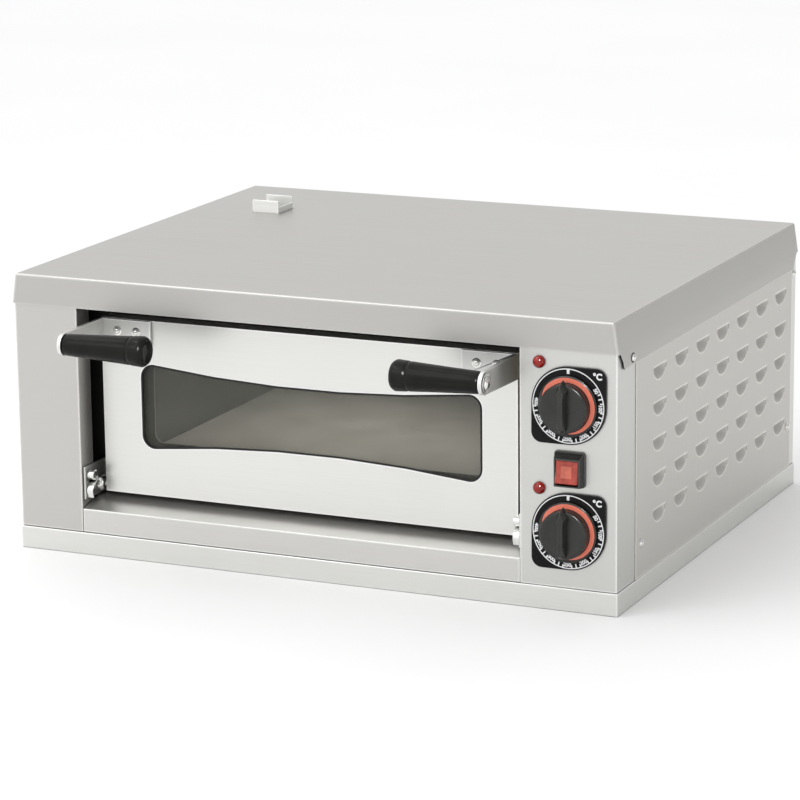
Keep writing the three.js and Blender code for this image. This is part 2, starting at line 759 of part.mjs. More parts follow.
// The right-hand parts; the left-hand ones are their mirror images. x = 0 is the jamb's face.
function makeHingeBracket() {
  const plate = box([-2.3, -GAP], [-231, BULKHEAD_Y - 0.5], [49.5, 79]);
  const foot = box([-4.5, -GAP], [BULKHEAD_Y - 2.5, BULKHEAD_Y - 0.5], [49.5, 79]);
  const stud = rodAlongX(2.2, [-6, -1], SPRING_EYE.y, SPRING_EYE.z, 14);
  const bore = rodAlongX(HINGE_PIN_RADIUS + 0.4, [-6, 2], HINGE_Y, HINGE_Z);
  return cut(join(plate, foot, stud), bore);
}

function makeHingePin() {
  const r = HINGE_PIN_RADIUS;
  return turnedAlongX(
    [
      [-22, 0],
      [-22, r],
      [-8.4, r],
      [-8.4, 3.4],
      [-7.4, 5.6],
      [-5.4, 7],
      [-2.6, 7.5],
      [-2.6, r],
      [-0.4, r],
      [-0.4, 0],
    ],
    20,
  ).translate(0, HINGE_Y, HINGE_Z);
}

function makeCatchSpring() {
  const { y, z, radius } = SPRING_EYE;
  const eye = [];
  for (let step = 0; step <= 8; step += 1) {
    const angle = Math.PI * (-0.2 + step * 0.19) + Math.PI / 2;
    eye.push([y + radius * Math.cos(angle), z + radius * Math.sin(angle)]);
  }
  const leg = [[y + 3.5, z - 4.5], [y - 2, z - 8.5], [y - 5, z - 13], [y - 3.5, z - 20]];
  return extrudeAlongX(ribbon([...eye, ...leg], 1.3), [-8.6, -2.6]);
}

function makeHingeBlock() {
  const inside = -JAMB - DOOR_SHEET - GAP;
  const front = DOOR_FACE + DOOR_SHEET + GAP;
  const block = box([inside - 12, inside], [front, -195.3], [DOOR_BOTTOM + 1.5, 68]);
  return cut(block, rodAlongX(HINGE_PIN_RADIUS + 0.1, [inside - 15, inside + 2], HINGE_Y, HINGE_Z));
}

function makeHinges(doorGroup) {
  const pieces = [
    ['hinge_bracket', makeHingeBracket(), 'steel', oven],
    ['hinge_pin', makeHingePin(), 'brightSteel', oven],
    ['catch_spring', makeCatchSpring(), 'brightSteel', oven],
    ['hinge_block', makeHingeBlock(), 'aluminisedSteel', doorGroup],
  ];
  for (const [name, geometry, finish, group] of pieces) {
    add(group, `${name}_right`, geometry, finish).position.x = RIGHT_JAMB;
    add(group, `${name}_left`, mirrored(geometry), finish).position.x = LEFT_JAMB;
  }
}

// ---------------------------------------------------------------- door
// The window's outline: straight ends, and upper and lower edges that bow in towards the middle.
function windowOutline(inset) {
  const w = WINDOW.halfWidth - inset;
  const h = WINDOW.halfEnd - inset;
  const r = Math.max(WINDOW.corner - inset, 2);
  const control = 2 * (WINDOW.halfMiddle - inset) - h;
  const shape = new THREE.Shape();
  shape.moveTo(-w + r, h);
  shape.quadraticCurveTo(0, control, w - r, h);
  shape.absarc(w - r, h - r, r, Math.PI / 2, 0, true);
  shape.lineTo(w, -h + r);
  shape.absarc(w - r, -h + r, r, 0, -Math.PI / 2, true);
  shape.quadraticCurveTo(0, -control, -w + r, -h);
  shape.absarc(-w + r, -h + r, r, -Math.PI / 2, -Math.PI, true);
  shape.lineTo(-w, h - r);
  shape.absarc(-w + r, h - r, r, Math.PI, Math.PI / 2, true);
  return shape;
}

function windowTool(inset, y) {
  return extrudeAlongY(windowOutline(inset), y, 5).translate(WINDOW.x, 0, WINDOW.z);
}

function makeDoorOuterSkin() {
  const t = DOOR_SHEET;
  const back = DOOR_FACE + DOOR_THICKNESS;
  const body = box([DOOR_LEFT, DOOR_RIGHT], [DOOR_FACE, back], [DOOR_BOTTOM, DOOR_TOP]);
  const hollow = box(
    [DOOR_LEFT + t, DOOR_RIGHT - t],
    [DOOR_FACE + t, back + 1],
    [DOOR_BOTTOM + t, DOOR_TOP - t],
  );
  const pinSpan = [DOOR_LEFT - 5, DOOR_RIGHT + 5];
  const pinHole = rodAlongX(HINGE_PIN_RADIUS + 0.5, pinSpan, HINGE_Y, HINGE_Z);
  return cut(body, hollow, windowTool(0, [DOOR_FACE - 2, DOOR_FACE + 4]), pinHole);
}

function makeDoorInnerSkin() {
  const t = DOOR_SHEET + GAP;
  const back = DOOR_FACE + DOOR_THICKNESS;
  const plate = box(
    [DOOR_LEFT + t, DOOR_RIGHT - t],
    [back - 1.7, back - 0.5],
    [DOOR_BOTTOM + t, DOOR_TOP - t],
  );
  const opening = extrudeAlongY(
    roundedRectangle(WINDOW.x - 158, WINDOW.x + 158, WINDOW.z - 36, WINDOW.z + 36, 8),
    [back - 4, back + 2],
    3,
  );
  return cut(plate, opening);
}

function makePane([y0, y1]) {
  return extrudeAlongY(
    roundedRectangle(WINDOW.x - 172, WINDOW.x + 172, WINDOW.z - 47, WINDOW.z + 47, 4),
    [y0, y1],
    2,
  );
}

function makeWindowSpacer() {
  const y = [DOOR_FACE + 5.8, DOOR_FACE + 10.8];
  const outer = box([WINDOW.x - 172, WINDOW.x + 172], y, [WINDOW.z - 47, WINDOW.z + 47]);
  const inner = box(
    [WINDOW.x - 166, WINDOW.x + 166],
    [y[0] - 1, y[1] + 1],
    [WINDOW.z - 41, WINDOW.z + 41],
  );
  return cut(outer, inner);
}

function makeWindowGasket() {
  const y = [DOOR_FACE - 0.5, DOOR_FACE + DOOR_SHEET - 0.1];
  return cut(windowTool(GAP, y), windowTool(1.6, [y[0] - 1, y[1] + 1]));
}

// Right-hand handle parts, with x = 0 at the door's right edge.
function makeHandleBracket() {
  const t = BRACKET_SHEET;
  const face = DOOR_FACE - GAP;
  const half = 10;
  const leg = new THREE.Shape();
  leg.moveTo(face, 189);
  leg.lineTo(GRIP.y, GRIP.z - half);
  leg.absarc(GRIP.y, GRIP.z, half, -Math.PI / 2, Math.PI / 2, true);
  leg.lineTo(face, 211.2);
  const plate = box([-50, 0], [face - t, face], [189, 211.2]);
  const boltHole = rodAlongX(3.3, [-6, 3], GRIP.y, GRIP.z, 16);
  return cut(join(extrudeAlongX(leg, [-t, 0]), plate), boltHole);
}

function makeGrip() {
  const start = -BRACKET_SHEET - GAP;
  const { length, smallRadius: small, largeRadius: large } = GRIP;
  const profile = [
    [start - length, 0],
    [start - length, large * 0.55],
    [start - length + 1.5, large * 0.85],
    [start - length + 5, large],
    [start - length + 13, large - 0.3],
    [start - length + 14, large - 1.2],
    [start - length + 16, large - 1.2],
    [start - length + 17, large - 0.5],
    [start - length * 0.4, large - 2],
    [start - 2, small],
    [start, small - 1],
    [start, 3.3],
    [start - 22, 3.3],
    [start - 22, 0],
  ];
  return turnedAlongX(profile, 16).translate(0, GRIP.y, GRIP.z);
}

function makeGripScrew() {
  return turnedAlongX(
    [
      [-21, 0],
      [-21, 3],
      [GAP, 3],
      [GAP, 8],
      [1.3, 8],
      [1.3, 6],
      [2.6, 5.4],
      [3.8, 3.6],
      [4.2, 0],
    ],
    20,
  ).translate(0, GRIP.y, GRIP.z);
}

function makeDoor() {
  const door = new THREE.Group();
  oven.add(door);
  add(door, 'door_outer_skin', makeDoorOuterSkin(), 'steel');
  add(door, 'door_inner_skin', makeDoorInnerSkin(), 'aluminisedSteel');
  add(door, 'window_gasket', makeWindowGasket(), 'rubber');
  add(door, 'window_outer_glass', makePane([DOOR_FACE + 1.5, DOOR_FACE + 5.5]), 'glass');
  add(door, 'window_spacer', makeWindowSpacer(), 'aluminisedSteel');
  add(door, 'window_inner_glass', makePane([DOOR_FACE + 11.1, DOOR_FACE + 15]), 'glass');
  const pieces = [
    ['handle_bracket', makeHandleBracket(), 'brightSteel'],
    ['handle_grip', makeGrip(), 'blackPlastic'],
    ['grip_screw', makeGripScrew(), 'brightSteel'],
  ];
  for (const [name, geometry, finish] of pieces) {
    add(door, `${name}_right`, geometry, finish).position.x = DOOR_RIGHT;
    add(door, `${name}_left`, mirrored(geometry), finish).position.x = DOOR_LEFT;
  }
  return door;
}

makeCase();
makeChamber();
makeInsulation();
makeControls();
makeHinges(makeDoor());

export default oven;
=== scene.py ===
"""Looks for the countertop pizza oven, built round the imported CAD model. Metres, in the CAD's frame."""

import json
import math

import bmesh
import bpy
from mathutils import Matrix, Vector

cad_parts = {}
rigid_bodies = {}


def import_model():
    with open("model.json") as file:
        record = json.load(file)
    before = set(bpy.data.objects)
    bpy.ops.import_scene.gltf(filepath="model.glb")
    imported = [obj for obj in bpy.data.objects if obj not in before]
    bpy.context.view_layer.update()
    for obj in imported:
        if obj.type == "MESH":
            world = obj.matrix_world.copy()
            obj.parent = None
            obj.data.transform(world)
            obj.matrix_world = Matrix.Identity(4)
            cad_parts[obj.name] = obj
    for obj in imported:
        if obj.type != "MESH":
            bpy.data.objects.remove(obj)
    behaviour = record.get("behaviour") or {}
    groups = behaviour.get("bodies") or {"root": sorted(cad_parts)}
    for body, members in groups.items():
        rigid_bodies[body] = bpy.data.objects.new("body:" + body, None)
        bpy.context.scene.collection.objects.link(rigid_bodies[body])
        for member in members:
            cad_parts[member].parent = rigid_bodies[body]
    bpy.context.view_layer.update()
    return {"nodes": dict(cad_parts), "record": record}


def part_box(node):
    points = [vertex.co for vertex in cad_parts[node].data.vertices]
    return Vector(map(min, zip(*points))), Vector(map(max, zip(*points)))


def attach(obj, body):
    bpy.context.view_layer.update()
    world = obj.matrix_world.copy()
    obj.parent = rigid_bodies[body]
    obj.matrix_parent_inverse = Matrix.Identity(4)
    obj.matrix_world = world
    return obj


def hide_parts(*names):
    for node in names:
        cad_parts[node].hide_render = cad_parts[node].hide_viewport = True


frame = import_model()

MM = 0.001
NODES = frame["nodes"]
SLOTS = {s["node"]: s["material_slot"] for s in frame["record"]["subparts"]}
BODY_OF = {n: b for b, names in frame["record"]["behaviour"]["bodies"].items() for n in names}


# ------------------------------------------------------------------ camera
CASE_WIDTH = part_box("top_cover")[1].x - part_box("top_cover")[0].x
VIEW_AZIMUTH = math.radians(24.45)
VIEW_ELEVATION = math.radians(13.56)
VIEW_ROLL = math.radians(-0.65)
VIEW_DISTANCE = 5.673  # in case widths, like the two offsets below
VIEW_RIGHT = -0.0310
VIEW_UP = 0.1838
LENS = 157.97


def make_camera():
    az, el, roll = VIEW_AZIMUTH, VIEW_ELEVATION, VIEW_ROLL
    back = Vector((math.sin(az) * math.cos(el), -math.cos(az) * math.cos(el), math.sin(el)))
    level = Vector((math.cos(az), math.sin(az), 0))
    upright = back.cross(level)
    right = math.cos(roll) * level + math.sin(roll) * upright
    up = -math.sin(roll) * level + math.cos(roll) * upright
    data = bpy.data.cameras.new("camera")
    data.lens = LENS
    data.sensor_width = 36
    data.clip_end = 100
    camera = bpy.data.objects.new("camera", data)
    bpy.context.collection.objects.link(camera)
    turn = Matrix((right, up, back)).transposed().to_4x4()
    place = (back * VIEW_DISTANCE + right * VIEW_RIGHT + up * VIEW_UP) * CASE_WIDTH
    camera.matrix_world = Matrix.Translation(place) @ turn
    bpy.context.scene.camera = camera


# ------------------------------------------------------------------ materials
class Nodes:
    """A material's node tree, with short calls to add nodes and link them."""

    def __init__(self, name):
        self.material = bpy.data.materials.new(name)
        self.material.use_nodes = True
        self.tree = self.material.node_tree
        self.shader = self.tree.nodes["Principled BSDF"]

    def put(self, kind, inputs=None, **settings):
        made = self.tree.nodes.new(kind)
        for key, value in settings.items():
            setattr(made, key, value)
        for key, value in (inputs or {}).items():
            self.feed(made, key, value)
        return made

    def feed(self, target, key, value):
        if isinstance(value, bpy.types.NodeSocket):
            self.tree.links.new(value, target.inputs[key])
        else:
            target.inputs[key].default_value = value

    def place(self):
        return self.put("ShaderNodeTexCoord").outputs["Object"]

    def noise(self, stretch, detail=3.0, roughness=0.5):
        mapped = self.put("ShaderNodeMapping", {"Vector": self.place(), "Scale": stretch})
        return self.put(
            "ShaderNodeTexNoise",
            {"Vector": mapped.outputs[0], "Scale": 1.0, "Detail": detail, "Roughness": roughness},
        ).outputs["Fac"]

    def between(self, factor, low, high):
        return self.put(
            "ShaderNodeMapRange",
            {"Value": factor, "From Min": 0.3, "From Max": 0.7, "To Min": low, "To Max": high},
        ).outputs[0]

    def blend(self, factor, first, second, mode="MIX"):
        mixed = self.put("ShaderNodeMix", data_type="RGBA", blend_type=mode)
        self.feed(mixed, 0, factor)
        self.feed(mixed, 6, first)
        self.feed(mixed, 7, second)
        return mixed.outputs[2]

    def shaded(self, colour, reach, floor):
        """Painted shade: the colour in the open, darkened to floor of it deep in a seam narrower than
        reach.
        """
        shade = self.put("ShaderNodeAmbientOcclusion", {"Distance": reach}, samples=4)
        level = self.put(
            "ShaderNodeMapRange",
            {"Value": shade.outputs["AO"], "From Min": 0.1, "From Max": 0.6, "To Min": floor},
        ).outputs[0]
        grey = self.put("ShaderNodeCombineColor", {"Red": level, "Green": level, "Blue": level})
        return self.blend(1.0, colour, grey.outputs[0], "MULTIPLY")

    def painted_highlight_edges(self, reach):
        """Mask for painted highlights: 1 along outside and inside corners, 0 on flat sheet further than
        reach from them.
        """
        rounded = self.put("ShaderNodeBevel", {"Radius": reach}, samples=4).outputs[0]
        flat = self.put("ShaderNodeNewGeometry").outputs["Normal"]
        alike = self.put("ShaderNodeVectorMath", {0: rounded, 1: flat}, operation="DOT_PRODUCT")
        return self.put(
            "ShaderNodeMapRange",
            {"Value": alike.outputs["Value"], "From Min": 0.985, "From Max": 0.86},
        ).outputs[0]

    def bump(self, height, strength, distance):
        made = self.put(
            "ShaderNodeBump", {"Height": height, "Strength": strength, "Distance": distance}
        )
        self.feed(self.shader, "Normal", made.outputs[0])

    def colour(self, value):
        self.feed(self.shader, "Base Color", value)

    def set(self, **values):
        for key, value in values.items():
            self.feed(self.shader, key.replace("_", " "), value)


def rgba(r, g, b):
    return (r, g, b, 1.0)


GRAIN_X = (7.0, 900.0, 900.0)  # brushed along the width
GRAIN_Z = (700.0, 700.0, 5.0)  # brushed up and down


def brushed(
    name, tone, grain=GRAIN_X, roughness=(0.3, 0.44), contrast=0.05, seam=0.1, edge=1.7, metal=0.85
):
    """Brushed sheet: seam is the level of the shade painted deep in a gap, edge the brightness of the
    highlight painted along its folds.
    """
    m = Nodes(name)
    fine = m.noise(grain, 4.0, 0.65)
    cloud = m.noise((9.0, 9.0, 9.0), 2.0)
    pale = rgba(*(min(1.0, c * (1 + contrast)) for c in tone))
    dark = rgba(*(c * (1 - contrast) for c in tone))
    grained = m.blend(m.between(fine, 0.0, 1.0), dark, pale)
    smudged = m.blend(m.between(cloud, 0.0, 0.35), grained, rgba(*(c * 0.95 for c in tone)))
    # Painted highlight: the colour lightened by edge within 2.6 mm of folds and corners.
    wear_and_painted_highlight = m.blend(m.painted_highlight_edges(2.6 * MM), smudged, rgba(*(min(1.0, c * edge) for c in tone)))
    # Painted shade: darkened down to seam deep in gaps narrower than 4 mm.
    m.colour(m.shaded(wear_and_painted_highlight, 0.004, seam))
    m.set(Metallic=metal, Roughness=m.between(m.noise(grain, 2.0), *roughness))
    m.bump(fine, 0.12, 0.00012)
    return m.material


def polished(name, tone, roughness):
    m = Nodes(name)
    scratches = m.noise((400.0, 400.0, 90.0), 3.0)
    scratched = m.blend(m.between(scratches, 0, 1), rgba(*tone), rgba(*(c * 0.88 for c in tone)))
    # Painted shade: darkened down to 3% deep in seams narrower than 3.5 mm.
    m.colour(m.shaded(scratched, 0.0035, 0.03))
    m.set(Metallic=1.0, Roughness=m.between(m.noise((120.0,) * 3), *roughness))
    m.bump(scratches, 0.08, 0.0001)
    return m.material


def plastic(name, tone, roughness, specular=0.22, grain=1800.0, strength=0.08):
    m = Nodes(name)
    m.shader.inputs["Specular IOR Level"].default_value = specular
    speck = m.noise((grain,) * 3, 3.0)
    wear = m.noise((60.0,) * 3, 4.0)
    wear_and_painted_highlight = rgba(*(c * 1.4 + 0.003 for c in tone))
    # Painted highlight: a far lighter colour within 0.9 mm of the edges.
    painted_edge_highlight = rgba(*(c * 5 + 0.02 for c in tone))
    m.colour(
        m.blend(m.painted_highlight_edges(0.9 * MM), m.blend(m.between(wear, 0.0, 0.5), rgba(*tone), wear_and_painted_highlight), painted_edge_highlight)
    )
    m.set(Roughness=m.between(wear, *roughness))
    m.bump(speck, strength, 0.00015)
    return m.material


def translucent_red(name, tone, roughness, coat, glow=0.1):
    m = Nodes(name)
    swirl = m.noise((160.0,) * 3, 2.0)
    m.colour(m.blend(m.between(swirl, 0, 1), rgba(*tone), rgba(*(c * 0.6 for c in tone))))
    m.set(Roughness=m.between(m.noise((300.0,) * 3), roughness, roughness + 0.08))
    m.shader.inputs["Coat Weight"].default_value = coat
    m.shader.inputs["Coat Roughness"].default_value = 0.04
    m.shader.inputs["Emission Color"].default_value = rgba(*tone)
    m.shader.inputs["Emission Strength"].default_value = glow
    m.shader.inputs["Specular IOR Level"].default_value = 0.3
    m.bump(swirl, 0.04, 0.0002)
    return m.material


def window_glass(name):
    m = Nodes(name)
    smear = m.noise((14.0, 14.0, 26.0), 4.0)
    m.colour(m.blend(m.between(smear, 0, 1), rgba(0.2, 0.2, 0.17), rgba(0.26, 0.26, 0.22)))
    m.set(Roughness=m.between(smear, 0.03, 0.09))
    edge = m.put("ShaderNodeLayerWeight", {"Blend": 0.35}).outputs["Fresnel"]
    opacity = m.put(
        "ShaderNodeMapRange",
        {"Value": edge, "From Min": 0.0, "From Max": 1.0, "To Min": 0.1, "To Max": 0.7},
    )
    m.set(Alpha=opacity.outputs[0])
    return m.material


def stone(name):
    m = Nodes(name)
    grit = m.noise((900.0,) * 3, 5.0, 0.7)
    stain = m.noise((22.0, 22.0, 60.0), 4.0)
    base = m.blend(m.between(grit, 0, 1), rgba(0.56, 0.53, 0.44), rgba(0.68, 0.65, 0.56))
    m.colour(m.blend(m.between(stain, 0.0, 0.5), base, rgba(0.42, 0.38, 0.30)))
    m.set(Roughness=m.between(grit, 0.8, 0.95))
    m.bump(grit, 0.5, 0.0004)
    return m.material


def wool(name):
    m = Nodes(name)
    fibre = m.noise((700.0, 700.0, 120.0), 6.0, 0.75)
    m.colour(m.blend(m.between(fibre, 0, 1), rgba(0.62, 0.54, 0.36), rgba(0.8, 0.74, 0.58)))
    m.set(Roughness=m.between(fibre, 0.88, 1.0))
    m.bump(fibre, 0.8, 0.001)
    return m.material


def sheath(name):
    m = Nodes(name)
    scale = m.noise((300.0,) * 3, 4.0)
    m.colour(m.blend(m.between(scale, 0, 1), rgba(0.05, 0.055, 0.05), rgba(0.11, 0.1, 0.085)))
    m.set(Metallic=0.6, Roughness=m.between(scale, 0.45, 0.65))
    m.bump(scale, 0.2, 0.0002)
    return m.material


def printed(name, tone):
    m = Nodes(name)
    ink = m.noise((900.0,) * 3, 3.0)
    m.colour(m.blend(m.between(ink, 0, 1), rgba(*tone), rgba(*(c * 0.86 for c in tone))))
    m.set(Roughness=m.between(ink, 0.4, 0.55))
    m.bump(ink, 0.05, 0.0001)
    return m.material


LOOKS = {
    "cover": brushed(
        "steel_cover", (0.47, 0.464, 0.445), contrast=0.025, roughness=(0.36, 0.48), edge=2.1
    ),
    "side": brushed("steel_side", (0.6, 0.584, 0.553), GRAIN_Z, (0.4, 0.52), 0.06, seam=0.5),
    "left": brushed("steel_left_panel", (0.525, 0.513, 0.493), contrast=0.025, edge=1.9),
    "control": brushed("steel_control_panel", (0.6, 0.6, 0.58), contrast=0.02),
    "base": brushed("steel_base", (0.7, 0.7, 0.675), contrast=0.03),
    "door": brushed("steel_door", (0.73, 0.73, 0.705), contrast=0.03, roughness=(0.3, 0.42)),
    "case": brushed("steel_case", (0.7, 0.695, 0.67), contrast=0.03),
    "bright": polished("steel_bright", (0.82, 0.82, 0.8), (0.1, 0.2)),
    "bracket": brushed("steel_bracket", (0.68, 0.68, 0.66), (90.0, 90.0, 6.0), (0.34, 0.42), 0.03),
    "hinge": brushed("steel_hinge", (0.5, 0.5, 0.48), contrast=0.03, roughness=(0.3, 0.4)),
    "dull": brushed("steel_aluminised", (0.42, 0.425, 0.4), contrast=0.08, roughness=(0.4, 0.6)),
    # Painted shade: the chamber's liner is much darker than the aluminised steel, for the shade inside
    # the chamber.
    "liner": brushed("steel_liner", (0.14, 0.14, 0.126), GRAIN_Z, (0.35, 0.5), contrast=0.06),
    "duct": brushed("steel_vent", (0.85, 0.85, 0.83), contrast=0.04, seam=0.9, metal=0.4),
    # Painted shade: the chamber's front frame is nearly black, for the shade in the gaps round the door.
    "gap_shade": brushed("steel_painted_gap_shade", (0.035, 0.034, 0.03), roughness=(0.5, 0.65)),
    # Painted shade: the sill's steel is a little darker than the base's, for the shade under the door.
    "sill": brushed("steel_sill", (0.61, 0.605, 0.585), contrast=0.03),
    "stone": stone("fireclay"),
    "sheath": sheath("element_sheath"),
    "wool": wool("mineral_wool"),
    "grip": plastic("black_grip", (0.004, 0.004, 0.0035), (0.16, 0.26), 0.13, 900.0, 0.2),
    "black": plastic("black_phenolic", (0.01, 0.01, 0.009), (0.17, 0.27), 0.36),
    "plate": plastic("black_plate", (0.004, 0.004, 0.004), (0.24, 0.34), 0.14),
    "rubber": plastic("gasket_rubber", (0.012, 0.012, 0.012), (0.6, 0.8)),
    "pale": plastic("pale_plastic", (0.6, 0.57, 0.47), (0.5, 0.65)),
    "lamp": translucent_red("lamp_red", (0.16, 0.003, 0.001), 0.06, 0.4, 0.02),
    "rocker": translucent_red("rocker_red", (0.42, 0.06, 0.04), 0.2, 0.2),
    "rocker_core": translucent_red("rocker_core_red", (0.6, 0.14, 0.09), 0.3, 0.2),
    "glass": window_glass("window_glass"),
    "white_ink": printed("white_ink", (0.82, 0.83, 0.84)),
    "red_ink": printed("red_ink", (0.9, 0.22, 0.14)),
}

LOOK_OF_SLOT = {
    "case_steel": "case",
    "hardware_steel": "bright",
    "aluminised_steel": "dull",
    "baking_stone": "stone",
    "element_sheath": "sheath",
    "mineral_wool": "wool",
    "black_plastic": "black",
    "dial_plate": "plate",
    "gasket_rubber": "rubber",
    "window_glass": "glass",
    "red_lens": "lamp",
    "pale_plastic": "pale",
}
LOOK_OF_NODE = {
    "base_tray": "base",
    "door_sill": "sill",
    "chamber_liner": "liner",
    "chamber_front_frame": "gap_shade",
    "top_cover": "cover",
    "right_side_panel": "side",
    "left_side_panel": "side",
    "left_front_panel": "left",
    "control_panel": "control",
    "door_outer_skin": "door",
    "switch_rocker": "rocker",
    "vent_duct": "duct",
    "handle_bracket_left": "bracket",
    "handle_bracket_right": "bracket",
    "hinge_bracket_left": "hinge",
    "hinge_bracket_right": "hinge",
}


def look_of(node):
    return LOOKS[LOOK_OF_NODE.get(node, LOOK_OF_SLOT[SLOTS[node]])]


# ------------------------------------------------------------------ mesh helpers
def link(name, mesh, look):
    piece = bpy.data.objects.new(name, mesh)
    bpy.context.collection.objects.link(piece)
    mesh.materials.clear()
    mesh.materials.append(look)
    return piece


def linked(name, bm, look):
    """The finished bmesh as a smooth-shaded object."""
    mesh = bpy.data.meshes.new(name)
    bm.to_mesh(mesh)
    bm.free()
    mesh.shade_smooth()
    return link(name, mesh, look)


def from_bmesh(name, bm, look):
    bmesh.ops.recalc_face_normals(bm, faces=bm.faces)
    return linked(name, bm, look)


def soften(piece, width, segments, angle=35):
    bevel = piece.modifiers.new("bends", "BEVEL")
    bevel.width = width
    bevel.segments = segments
    bevel.limit_method = "ANGLE"
    bevel.angle_limit = math.radians(angle)
    bevel.use_clamp_overlap = True
    piece.data.shade_smooth()
    even_out(piece)


def even_out(piece):
    """Keeps large flats evenly shaded; it must stay the last modifier on the piece."""
    for old in [m for m in piece.modifiers if m.type == "WEIGHTED_NORMAL"]:
        piece.modifiers.remove(old)
    shading = piece.modifiers.new("shading", "WEIGHTED_NORMAL")
    shading.mode = "FACE_AREA"
    shading.weight = 100


def refined(node, width, segments=2):
    """The CAD piece's shape with its flat faces whole and its edges rounded."""
    bm = bmesh.new()
    bm.from_mesh(NODES[node].data)
    bmesh.ops.remove_doubles(bm, verts=bm.verts, dist=0.01 * MM)
    bmesh.ops.dissolve_limit(bm, angle_limit=math.radians(1), verts=bm.verts, edges=bm.edges)
    piece = from_bmesh(node + "_finished", bm, look_of(node))
    soften(piece, width, segments)
    stand_for(piece, node)
    return piece


def stand_for(piece, *nodes):
    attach(piece, BODY_OF[nodes[0]])
    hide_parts(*nodes)


def belong(piece, node):
    """piece is extra detail on a CAD node, and moves with it."""
    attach(piece, BODY_OF[node])


def turned(bm, profile, axis, at, sides, shape=None):
    """Adds a solid of revolution: profile is [(distance along axis, radius), ...], ends closed."""
    rings = []
    for along, radius in profile:
        ring = []
        for i in range(sides):
            a = 2 * math.pi * i / sides
            r = radius if shape is None else shape(along, radius, a)
            across = (r * math.cos(a), r * math.sin(a))
            local = (along, *across) if axis == "X" else (across[0], along, across[1])
            ring.append(bm.verts.new(Vector(at) + Vector(local)))
        rings.append(ring)
    for near, far in zip(rings, rings[1:]):
        for i in range(sides):
            j = (i + 1) % sides
            bm.faces.new((near[i], near[j], far[j], far[i]))
    bm.faces.new(rings[0])
    bm.faces.new(rings[-1])


DOME_STEPS = 6
RIM_SHARE = 0.12  # share of a domed head's height that its flat rim takes up


def dome(radius, height, flange):
    """Profile of a domed head on a flat rim, from its seat outwards."""
    points = [(0.0, radius + flange), (RIM_SHARE * height, radius + flange)]
    for i in range(DOME_STEPS):
        a = math.pi / 2 * i / DOME_STEPS
        rise = RIM_SHARE + (1 - RIM_SHARE) * math.sin(a)
        points.append((height * rise, radius * math.cos(a) * 0.98))
    points.append((height, radius * 0.05))
    return points


def block(bm, low, high):
    made = bmesh.ops.create_cube(bm, size=1.0)
    low, high = Vector(low), Vector(high)
    for v in made["verts"]:
        v.co = low + Vector((v.co[i] + 0.5) * (high - low)[i] for i in range(3))


# ------------------------------------------------------------------ case
COVER_SHEET = 0.9 * MM
COVER_LEAN = 4 * MM  # how far each side leans in above its bend
COVER_BEND = 27 * MM  # from the top down to that bend
VENT_CLEARANCE = 1.0 * MM


def make_cover():
    low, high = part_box("top_cover")
    duct_low, duct_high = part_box("vent_duct")
    clear = VENT_CLEARANCE
    bend = high.z - COVER_BEND
    top_x = high.x - COVER_LEAN
    front, back = low.y, high.y
    hole = (duct_low.x - clear, duct_high.x + clear, duct_low.y - clear, duct_high.y + clear)
    bm = bmesh.new()

    def face(*points):
        bm.faces.new([bm.verts.new(p) for p in points])

    xs = [-top_x, hole[0], hole[1], top_x]
    ys = [front, hole[2], hole[3], back]
    for i in range(3):
        for j in range(3):
            if (i, j) != (1, 1):
                corners = ((i, j), (i + 1, j), (i + 1, j + 1), (i, j + 1))
                face(*((xs[a], ys[b], high.z) for a, b in corners))
    for y in (front, back):
        face(*((x, y, high.z) for x in xs), (high.x, y, bend), (low.x, y, bend))
    # The sides' cut corners, as (distance from the front or back, height).
    corner = [
        (4.7 * MM, bend),
        (11 * MM, low.z + 7 * MM),
        (13 * MM, low.z + 2.5 * MM),
        (15 * MM, low.z),
    ]
    for side in (-1, 1):
        x = side * high.x
        face(*((x, front + inset, z) for inset, z in corner),
             *((x, back - inset, z) for inset, z in reversed(corner)))
        shoulder = [front, front + corner[0][0], back - corner[0][0], back]
        face(*((x, y, bend) for y in shoulder), *((side * top_x, y, high.z) for y in reversed(ys)))
    bmesh.ops.remove_doubles(bm, verts=bm.verts, dist=0.01 * MM)
    piece = from_bmesh("cover_folded", bm, look_of("top_cover"))
    soften(piece, 1.6 * MM, 4, 20)
    sheet = piece.modifiers.new("sheet", "SOLIDIFY")
    sheet.thickness = COVER_SHEET
    sheet.offset = -1
    even_out(piece)
    stand_for(piece, "top_cover")


LOUVRE_COLUMNS = 7
LOUVRE_ROWS = 5
LOUVRE_FIRST = (-134.5 * MM, 70 * MM)  # middle of the upper edge, front column and lowest row
LOUVRE_PITCH = (53.7 * MM, 31 * MM)
LOUVRE_HALF_WIDTH = 16 * MM
LOUVRE_HEIGHT = 12 * MM
LOUVRE_DEPTH = 6.2 * MM
LOUVRE_SHEET = 1.1 * MM
LOUVRE_SIDES = 28  # faces round half a dish
LOUVRE_RINGS = 10  # and from its middle to its rim


def louvre_places():
    for column in range(LOUVRE_COLUMNS):
        for row in range(LOUVRE_ROWS):
            yield (
                LOUVRE_FIRST[0] + column * LOUVRE_PITCH[0],
                LOUVRE_FIRST[1] + row * LOUVRE_PITCH[1],
            )


